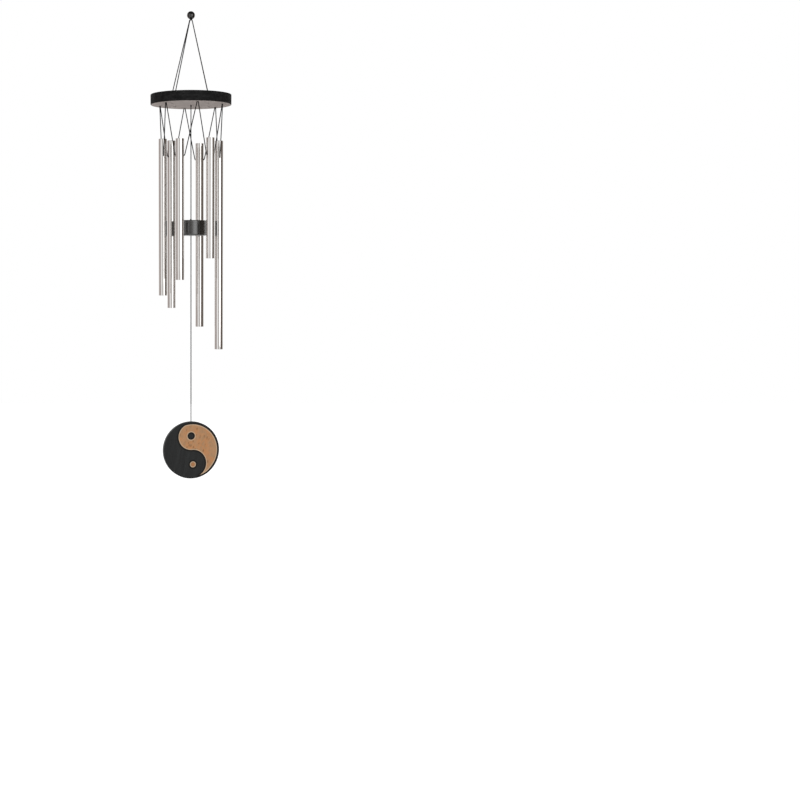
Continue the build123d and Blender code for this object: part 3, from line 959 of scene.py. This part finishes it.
class CHIME_OT_loops(bpy.types.Operator):
    """Makes the six loops that the tubes hang on, and the knots in the top of the disc"""

    bl_idname = "chime.loops"
    bl_label = "Tube loops"

    def execute(self, context):
        for number in TUBE_NUMBERS:
            top = np.array(joints[f"tube_{number}_cord_swing"]["pos_m"])
            hole = np.array(joints[f"tube_{number}_tilt"]["pos_m"])
            across = np.array(joints[f"tube_{number}_tilt"]["axis"])
            route = []
            for side in (-1, 1):
                leg_top = top + side * across * LEG_SPREAD
                corner = hole + side * across * LOOP_CORNER
                before = corner + unit(leg_top - corner) * EDGE_REACH
                inside = hole + side * across * LOOP_HOLE_POINT
                half = [leg_top, before, corner, inside]
                route += half if side < 0 else half[::-1]
            make_cord(f"tube_loop_{number}", route, f"tube_cord_{number}", f"tube_cord_{number}")
        shapes = []
        for angle in LOOP_ANGLES:
            centre = radial(angle) * LOOP_HOLE_RADIUS
            middle = centre + UP * (upper_seat + LOOP_KNOTS[0][1] / 2)
            shapes += double_knot(middle, LOOP_KNOTS, angle, twist=50.0)
            for side in (-1, 1):
                strand = centre + side * radial(angle + 90) * PAIR_OFFSET
                low, high = disc_bottom + PAIR_STRAND[0], upper_seat + PAIR_STRAND[1]
                shapes.append(cord_stub(low, high, strand, HOLE_STRAND_RADIUS))
            tail = centre + radial(angle + 60) * PAIR_OFFSET
            low, high = (upper_seat + reach for reach in PAIR_TAIL)
            shapes.append(cord_stub(low, high, tail, PAIR_TAIL_RADIUS))
        make_cord_piece("loop_knots", shapes, "platform", "tube_cord_anchors")
        return {"FINISHED"}


class CHIME_OT_centre_cords(bpy.types.Operator):
    """Makes the cords of the striker and the sail, with their knots"""

    bl_idname = "chime.centre_cords"
    bl_label = "Striker and sail cords"

    def execute(self, context):
        axis = np.zeros(3)
        root, tail_top = (upper_seat + reach for reach in CENTRE_TAIL)
        top = seated_knot(axis, upper_seat, STOP_KNOT)
        tail = cord_stub(root, tail_top, axis, TAIL_RADIUS)
        through = cord_stub(disc_bottom, root, axis, HOLE_STRAND_RADIUS)
        make_cord_piece("striker_cord_knot", [top, tail, through], "platform", "striker_cord_anchor")
        make_cord_piece("centre_bend", [tied_knot(centre_pivot, CENTRE_BEND)], "centre_knot", "centre_knot")

        upper = seated_knot(axis, striker_top, UPPER_KNOT, turn=30.0)
        lower = seated_knot(axis, striker_seat, STOP_KNOT, side=-1)
        knots = make_cord_piece("striker_knots", [upper, lower], "striker", "striker_cord")
        route = plumb_route(striker_cord_top, striker_seat)
        make_cord("striker_line", route, "striker", "striker_cord")

        make_cord_piece("sail_bend", [tied_knot(sail_pivot, SAIL_BEND)], "sail_knot", "sail_knot")
        route = plumb_route(sail_cord_top, sail_cord_end)
        make_cord("sail_line", route, "sail_cord", "sail_cord")
        return {"FINISHED"}


class CHIME_OT_hanging(bpy.types.Operator):
    """Makes the bundle of cord in the ball with its knots, and finishes the ball"""

    bl_idname = "chime.hanging"
    bl_label = "Ball and hanging knots"

    def execute(self, context):
        low, high = (corner[2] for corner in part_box("hanging_cord"))
        offset, radius, relief = 0.00065, 0.0005, 0.05
        twist = 420.0  # radians in each metre
        rise = np.linspace(low, high - STRANDS_DROP, 40)
        strands = []
        for start in once_round(4):
            angle = start + rise * twist
            line = np.stack([offset * np.cos(angle), offset * np.sin(angle), rise], axis=-1)
            strands.append(braided_tube(line, radius, relief))
        stopper = double_knot(UP * (high - STOPPER_DROP), STOPPER_KNOTS)
        make_cord_piece("hanging_bundle", strands + stopper, "hanging_cord", "hanging_cord")
        tie = double_knot(hanging_pivot, HANGING_KNOTS)
        make_cord_piece("hanging_tie", tie, "hanging_knot", "hanging_knot")
        lacquer = make_ball_material(tuple(context.scene.chime_ball.lacquer))
        frame["nodes"]["hanging_ball"].material_slots[0].material = lacquer
        return {"FINISHED"}


# Metal and wood


class CHIME_OT_tubes(bpy.types.Operator):
    """Makes the six tubes"""

    bl_idname = "chime.tubes"
    bl_label = "Tubes"

    def execute(self, context):
        sizes = context.scene.chime_tubes
        metal = make_metal_material(tuple(sizes.bright), tuple(sizes.dull))
        for number in TUBE_NUMBERS:
            node = f"tube_{number}"
            low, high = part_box(node)
            hole = np.array(joints[f"{node}_tilt"]["pos_m"])
            across = np.array(joints[f"{node}_tilt"]["axis"])
            shape = tube_shape(hole, across, low[2], high[2], sizes)
            make_piece(f"drawn_{node}", shape, metal, node, "tube_metal", node, merge=True)
        return {"FINISHED"}


class CHIME_OT_wood(bpy.types.Operator):
    """Makes the disc and the striker, and finishes the sail"""

    bl_idname = "chime.wood"
    bl_label = "Wooden pieces"

    def execute(self, context):
        wood = context.scene.chime_wood
        stain, paint, inlay = tuple(wood.stain), tuple(wood.paint), tuple(wood.inlay)
        material = make_black_wood_material(
            "stained_disc", stain, with_bare_underside, [tuple(wood.bare)],
            contrast=1.8, rough=0.62, gloss=0.12,
        )
        shape = disc_shape(wood.disc_edge)
        make_piece("round_disc", shape, material, "platform", "black_wood", "top_disc", merge=True)
        material = make_black_wood_material(
            "stained_striker", stain, spacing=340.0, relief=0.15, rough=0.2, gloss=1.0, coat=0.75
        )
        shape = striker_shape(striker_radius, wood.striker_edge, wood.striker_foot)
        make_piece("round_striker", shape, material, "striker", "black_wood", "striker", merge=True)
        sail = make_black_wood_material(
            "painted_sail", paint, with_symbol_edge, [paint], turn=80.0, contrast=0.6, gloss=0.22
        )
        for node, material in (
            ("sail_disc", sail),
            ("pale_comma", make_inlay_material("comma_wood", inlay, "Comma")),
            ("pale_eye", make_inlay_material("eye_wood", shade(inlay, 0.8)[:3], "Eye", heart=True)),
        ):
            frame["nodes"][node].material_slots[0].material = material
        return {"FINISHED"}


# Stage


def add_camera(stage):
    """The camera, at the photograph's viewing angle."""
    data = bpy.data.cameras.new("camera")
    data.lens = stage.lens
    data.sensor_width = 36.0
    data.clip_end = 50.0
    data.shift_x, data.shift_y = stage.shift
    camera = place_object("camera", data)
    camera.location = stage.place
    camera.rotation_euler = (math.pi / 2 + math.radians(stage.pitch), 0.0, 0.0)
    bpy.context.scene.camera = camera


def add_lamp(energy):
    """A large square soft lamp that looks at the middle of the chime."""
    light = bpy.data.lights.new("soft_lamp", "AREA")
    light.size = LAMP_SIZE
    light.energy = energy
    lamp = place_object("soft_lamp", light)
    aim = (Vector(LAMP_TARGET) - Vector(LAMP_PLACE)).normalized()
    lamp.rotation_euler = aim.to_track_quat("-Z", "Y").to_euler()
    lamp.location = LAMP_PLACE


def add_world(daylight):
    """A white room, at full strength where it is seen, mirrored or seen through."""
    world = bpy.data.worlds.new("white_studio")
    bpy.context.scene.world = world
    world.use_nodes = True
    tree = world.node_tree
    tree.nodes.clear()
    sight = add_node(tree, "ShaderNodeLightPath", {})
    seen = maths(tree, "MAXIMUM", sight["Is Camera Ray"], sight["Is Glossy Ray"])
    seen = maths(tree, "MAXIMUM", seen, sight["Is Transmission Ray"])
    soft, white = (
        add_node(tree, "ShaderNodeBackground", {"Color": (1, 1, 1, 1), "Strength": strength})[0]
        for strength in (daylight, 1.0)
    )
    both = add_node(tree, "ShaderNodeMixShader", {0: seen, 1: soft, 2: white})[0]
    add_node(tree, "ShaderNodeOutputWorld", {0: both})


def level_square(reach, height, upward):
    """A level square round the axis, as a shape."""
    corners = [(reach * x, reach * y, height) for x, y in ((-1, -1), (1, -1), (1, 1), (-1, 1))]
    return corners, [(0, 1, 2, 3) if upward else (0, 3, 2, 1)]


def add_floor(height):
    """The plain pale floor, a little lighter to the camera, which keeps the chime's shadow."""
    material, tree, place = new_material("pale_floor")
    mottle = noise(tree, place, 3.0)
    seen = add_node(tree, "ShaderNodeLightPath", {})["Is Camera Ray"]
    inputs = {
        "Base Color": mixed(tree, mottle, (0.86, 0.86, 0.86, 1.0), (0.9, 0.9, 0.9, 1.0)),
        "Roughness": 0.9,
        "Specular IOR Level": 0.0,
        "Emission Strength": times(tree, seen, 0.5),
        "Emission Color": (1.0, 1.0, 1.0, 1.0),
    }
    mesh = make_mesh("floor", level_square(FLOOR_REACH, height, True), dressed(material, inputs))
    place_object("floor", mesh)


def add_screen(name, shape, colour):
    """A plain grey screen of the studio, which only shows in gloss."""
    material, tree, place = new_material(name)
    material.cycles.emission_sampling = "NONE"
    cloth = noise(tree, place, 2.0)
    inputs = {
        "Emission Color": mixed(tree, cloth, shade(colour, 0.9), shade(colour, 1.1)),
        "Emission Strength": 1.0,
        "Base Color": (0.0, 0.0, 0.0, 1.0),
        "Specular IOR Level": 0.0,
    }
    screen = place_object(name, make_mesh(name, shape, dressed(material, inputs)))
    for kind in ("camera", "diffuse", "shadow", "transmission", "volume_scatter"):
        setattr(screen, f"visible_{kind}", False)


def curved_screen(first, last, distance, low, high):
    """An upright screen round the chime, as a shape, between two angles counted from the
    front to the right. Its place is (distance sin a, -distance cos a, height)."""
    angle = np.tile(np.radians(np.linspace(first, last, 13)), 2)
    height = np.repeat([low, high], 13)
    points = np.stack([distance * np.sin(angle), -distance * np.cos(angle), height], axis=-1)
    corner = np.arange(12)
    faces = np.stack([corner, corner + 1, corner + 14, corner + 13], axis=-1)
    return points, faces.tolist()


class CHIME_OT_stage(bpy.types.Operator):
    """Makes the camera, the floor, the soft lights and the white background"""

    bl_idname = "chime.stage"
    bl_label = "Stage"

    def execute(self, context):
        stage = context.scene.chime_stage
        context.scene.view_settings.view_transform = "Standard"
        add_camera(stage)
        add_floor(sail_bottom - stage.floor_drop)
        add_world(stage.daylight)
        add_lamp(stage.lamp)
        for name, first, last, colour in (
            ("right_screen", 54.0, 124.0, (0.14, 0.116, 0.1)),
            ("far_right_screen", 128.0, 142.0, (0.5, 0.46, 0.43)),
            ("back_right_screen", 158.0, 172.0, (0.45, 0.43, 0.41)),
            ("back_left_screen", -172.0, -152.0, (0.8, 0.78, 0.76)),
            ("far_left_screen", -141.0, -120.0, (0.66, 0.61, 0.58)),
            ("left_screen", -116.0, -60.0, (0.42, 0.37, 0.355)),
            ("front_left_screen", -53.0, -16.0, (0.94, 0.93, 0.92)),
            ("front_screen", -13.0, 5.0, (0.36, 0.34, 0.325)),
            ("front_right_screen", 5.0, 18.0, (0.85, 0.84, 0.83)),
        ):
            add_screen(name, curved_screen(first, last, SCREEN_DISTANCE, SCREEN_BOTTOM, SCREEN_TOP), colour)
        upper = curved_screen(-180.0, 180.0, CEILING_REACH, SCREEN_TOP, CEILING_HEIGHT)
        add_screen("upper_screen", upper, (0.2, 0.2, 0.2))
        add_screen("ceiling", level_square(CEILING_REACH, CEILING_HEIGHT, False), (0.12, 0.12, 0.12))
        return {"FINISHED"}


class CHIME_PT_panel(bpy.types.Panel):
    """Lists the operators that make the chime"""

    bl_idname = "CHIME_PT_panel"
    bl_label = "Wind Chime"
    bl_space_type = "VIEW_3D"
    bl_region_type = "UI"
    bl_category = "Wind Chime"

    def draw(self, context):
        for step in steps:
            self.layout.operator(step.bl_idname)
        for name, kind in settings_groups.items():
            box = self.layout.box()
            for value in kind.__annotations__:
                box.prop(getattr(context.scene, name), value)


steps = (
    CHIME_OT_stage,
    CHIME_OT_suspension,
    CHIME_OT_loops,
    CHIME_OT_centre_cords,
    CHIME_OT_hanging,
    CHIME_OT_tubes,
    CHIME_OT_wood,
)
settings_groups = {
    "chime_cords": ChimeCordSettings,
    "chime_tubes": ChimeTubeSettings,
    "chime_wood": ChimeWoodSettings,
    "chime_ball": ChimeBallSettings,
    "chime_stage": ChimeStageSettings,
}
classes = (*settings_groups.values(), *steps, CHIME_PT_panel)


def register():
    """Registers the settings, the operators and the panel."""
    for item in classes:
        bpy.utils.register_class(item)
    for name, kind in settings_groups.items():
        setattr(bpy.types.Scene, name, PointerProperty(type=kind))


def unregister():
    """Takes them out again."""
    for name in settings_groups:
        delattr(bpy.types.Scene, name)
    for item in reversed(classes):
        bpy.utils.unregister_class(item)


def main():
    register()
    make_grain_group()
    make_lines_group()
    make_symbol_group()
    for step in steps:
        area, name = step.bl_idname.split(".")
        getattr(getattr(bpy.ops, area), name)()


if __name__ == "__main__":
    main()
